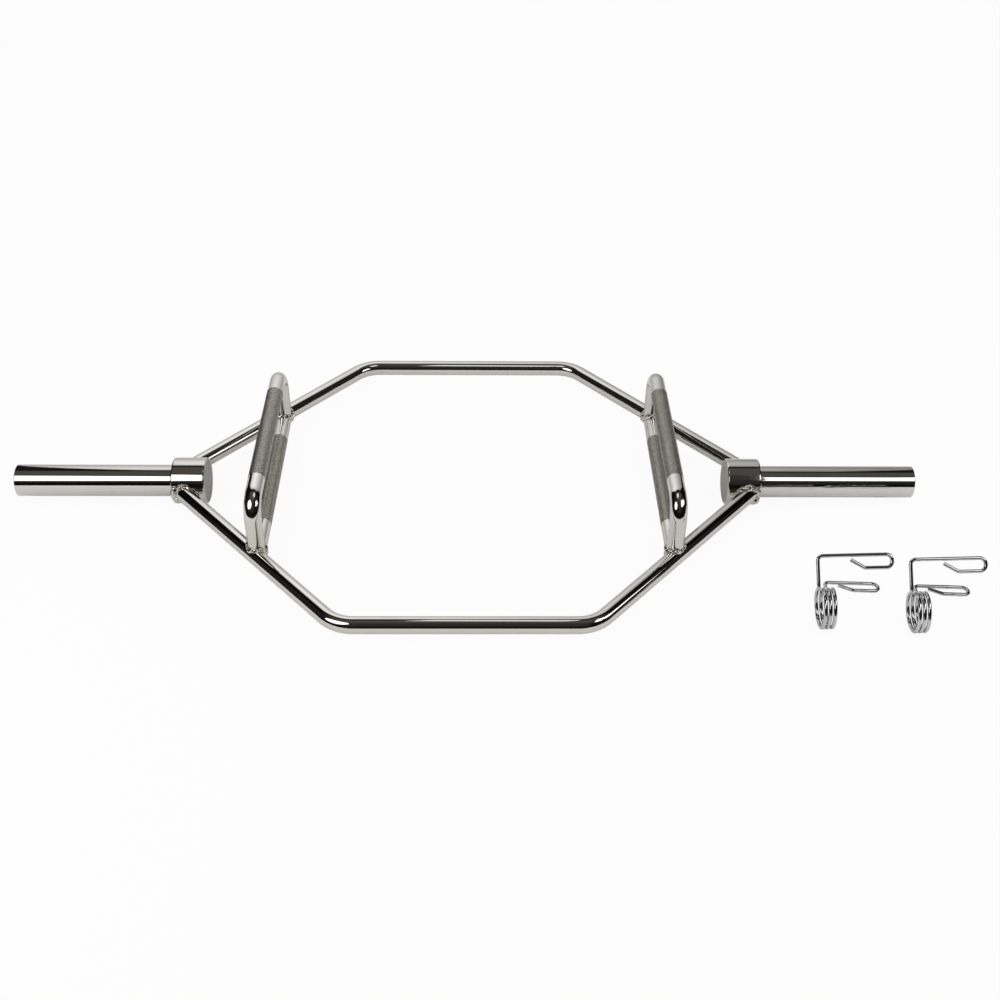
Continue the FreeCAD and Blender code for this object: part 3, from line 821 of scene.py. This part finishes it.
def build_floor():
    """A wide pale floor at the height where the hubs stand. Reflections show only the part of it that is
    papered."""
    matt = floor_material()
    far = FLOOR_HALF
    corners = [(-far, -far, 0), (far, -far, 0), (far, far, 0), (-far, far, 0)]
    floor = stage_card("studio_floor", corners, matt)
    floor.visible_glossy = False
    papered = [
        (BACKDROP_LEFT, PAPER_FRONT, PAPER_LIFT),
        (BACKDROP_RIGHT, PAPER_FRONT, PAPER_LIFT),
        (BACKDROP_RIGHT, BACKDROP_BACK, PAPER_LIFT),
        (BACKDROP_LEFT, BACKDROP_BACK, PAPER_LIFT),
    ]
    show_to_metal_only(stage_card("studio_paper", papered, matt))


def backdrop_material():
    """A pale backdrop with a painted pool of light in its upper left half: a glow that falls off evenly from
    there."""
    material, tree = bare_material("studio_backdrop")
    place = add_node(tree, "ShaderNodeTexCoord")
    spread = {"Location": (0.27, 0.0, -0.85), "Scale": (0.67, 0.0, 0.77)}
    lit = add_node(tree, "ShaderNodeMapping", spread, {"Vector": place.outputs["Object"]})
    links = {"Vector": lit.outputs["Vector"]}
    pool = add_node(tree, "ShaderNodeTexGradient", None, links, gradient_type="SPHERICAL")
    level = range_of(tree, pool.outputs["Fac"], *BACKDROP_GLOW, 0.0, 1.0)
    glow = add_node(tree, "ShaderNodeEmission", {"Color": WHITE}, {"Strength": level})
    add_node(tree, "ShaderNodeOutputMaterial", None, {"Surface": glow.outputs["Emission"]})
    return material


def build_backdrop():
    """An upright backdrop behind the object."""
    corners = [
        (BACKDROP_LEFT, BACKDROP_BACK, 0),
        (BACKDROP_RIGHT, BACKDROP_BACK, 0),
        (BACKDROP_RIGHT, BACKDROP_BACK, BACKDROP_TOP),
        (BACKDROP_LEFT, BACKDROP_BACK, BACKDROP_TOP),
    ]
    show_to_metal_only(stage_card("studio_backdrop", corners, backdrop_material()))


# What polished metal sees round the backdrop and the lamps, from the horizon behind the object (0), over the
# top, to the horizon in front of it (1): a dark room with a dim panel overhead, which ends at the sides.
STUDIO_BANDS = [
    (0.00, 0.012), (0.385, 0.012), (0.410, 0.085), (0.580, 0.085), (0.640, 0.040),
    (0.800, 0.030), (0.870, 0.020), (0.910, 0.005), (1.00, 0.005),
]
STUDIO_TINT = (1.0, 0.94, 0.87)
PANEL_HALF = (0.36, 0.55)
SIDE_SHARE = 0.2


def build_world():
    """The surroundings: white to the camera, a dark room to polished metal, and an even light on the
    floor."""
    world = bpy.data.worlds.new("studio")
    bpy.context.scene.world = world
    world.use_nodes = True
    tree = world.node_tree
    tree.nodes.clear()
    place = add_node(tree, "ShaderNodeTexCoord")
    parts = add_node(tree, "ShaderNodeSeparateXYZ", None, {"Vector": place.outputs["Generated"]})
    angle = reckon(tree, "ARCTAN2", None, {0: parts.outputs["Z"], 1: parts.outputs["Y"]})
    share = reckon(tree, "DIVIDE", {1: math.pi}, {0: angle})
    ramp = add_node(tree, "ShaderNodeValToRGB", None, {"Fac": share})
    stops = ramp.color_ramp.elements
    while len(stops) < len(STUDIO_BANDS):
        stops.new(1.0)
    for stop, (position, level) in zip(stops, STUDIO_BANDS):
        stop.position = position
        stop.color = (*(tint * level for tint in STUDIO_TINT), 1)
    path = add_node(tree, "ShaderNodeLightPath")
    even = add_node(tree, "ShaderNodeBackground", {"Color": WHITE, "Strength": EVEN_LIGHT})
    sideways = reckon(tree, "ABSOLUTE", None, {0: parts.outputs["X"]})
    fade = range_of(tree, sideways, 1.0, SIDE_SHARE, *PANEL_HALF)
    links = {"Color": ramp.outputs["Color"], "Strength": fade}
    studio = add_node(tree, "ShaderNodeBackground", None, links)
    white = add_node(tree, "ShaderNodeBackground", {"Color": WHITE, "Strength": 1.0})
    shiny = add_node(tree, "ShaderNodeMixShader", None, {0: path.outputs["Is Glossy Ray"]})
    tree.links.new(even.outputs["Background"], shiny.inputs[1])
    tree.links.new(studio.outputs["Background"], shiny.inputs[2])
    seen = add_node(tree, "ShaderNodeMixShader", None, {0: path.outputs["Is Camera Ray"]})
    tree.links.new(shiny.outputs["Shader"], seen.inputs[1])
    tree.links.new(white.outputs["Background"], seen.inputs[2])
    add_node(tree, "ShaderNodeOutputWorld", None, {"Surface": seen.outputs["Shader"]})


# The lamps: place, target, width and height, watts, and outline
SOFTBOXES = {
    "left_softbox": ((-1.42, -1.03, 1.29), (-1.42, 0.0, 0.05), (2.00, 1.08), 11.4, "ELLIPSE"),
    "right_softbox": ((0.89, -0.574, 0.88), (0.89, 0.0, 0.06), (0.40, 0.44), 1.2, "RECTANGLE"),
    "side_softbox": ((1.34, -0.36, 0.93), (0.71, 0.42, 0.93), (0.67, 0.62), 2.7, "RECTANGLE"),
    "overhead_softbox": ((0.06, -0.06, 1.13), (0.0, -0.05, 0.05), (0.36, 0.36), 0.40, "RECTANGLE"),
}


def build_softbox(name, place, target, size, watts, shape):
    """A flat lamp that faces a target, its width level."""
    lamp = bpy.data.lights.new(name, "AREA")
    lamp.shape = shape
    lamp.size, lamp.size_y = size
    lamp.energy = watts
    holder = bpy.data.objects.new(name, lamp)
    aim = (Vector(target) - Vector(place)).to_track_quat("-Z", "Y")
    holder.matrix_world = Matrix.Translation(place) @ aim.to_matrix().to_4x4()
    holder.visible_camera = False
    bpy.context.scene.collection.objects.link(holder)


def build_camera():
    """The photograph's camera, from its place and turn, with the focal length carried over to the
    sensor."""
    pitch, yaw, roll = (math.radians(angle) for angle in (CAMERA_PITCH, CAMERA_YAW, CAMERA_ROLL))
    ahead = Vector((math.sin(yaw) * math.cos(pitch), math.cos(yaw) * math.cos(pitch), -math.sin(pitch)))
    level = Vector((math.cos(yaw), -math.sin(yaw), 0))
    upright = level.cross(ahead)
    right = math.cos(roll) * level + math.sin(roll) * upright
    up = math.cos(roll) * upright - math.sin(roll) * level
    camera = bpy.data.cameras.new("photograph")
    camera.sensor_width = SENSOR_WIDTH
    camera.lens = FOCAL_PIXELS / PICTURE_PIXELS * SENSOR_WIDTH
    holder = bpy.data.objects.new("photograph", camera)
    turn = Matrix((right, up, -ahead)).transposed().to_4x4()
    holder.matrix_world = Matrix.Translation(CAMERA_PLACE) @ turn
    bpy.context.scene.collection.objects.link(holder)
    bpy.context.scene.camera = holder


build_frame()
for side, turn in (("right", np.asarray), ("left", half_turned)):
    build_side(side, turn)
    build_collar(side)
build_floor()
build_world()
build_backdrop()
for name, lamp in SOFTBOXES.items():
    build_softbox(name, *lamp)
build_camera()
bpy.context.scene.view_settings.view_transform = "Standard"
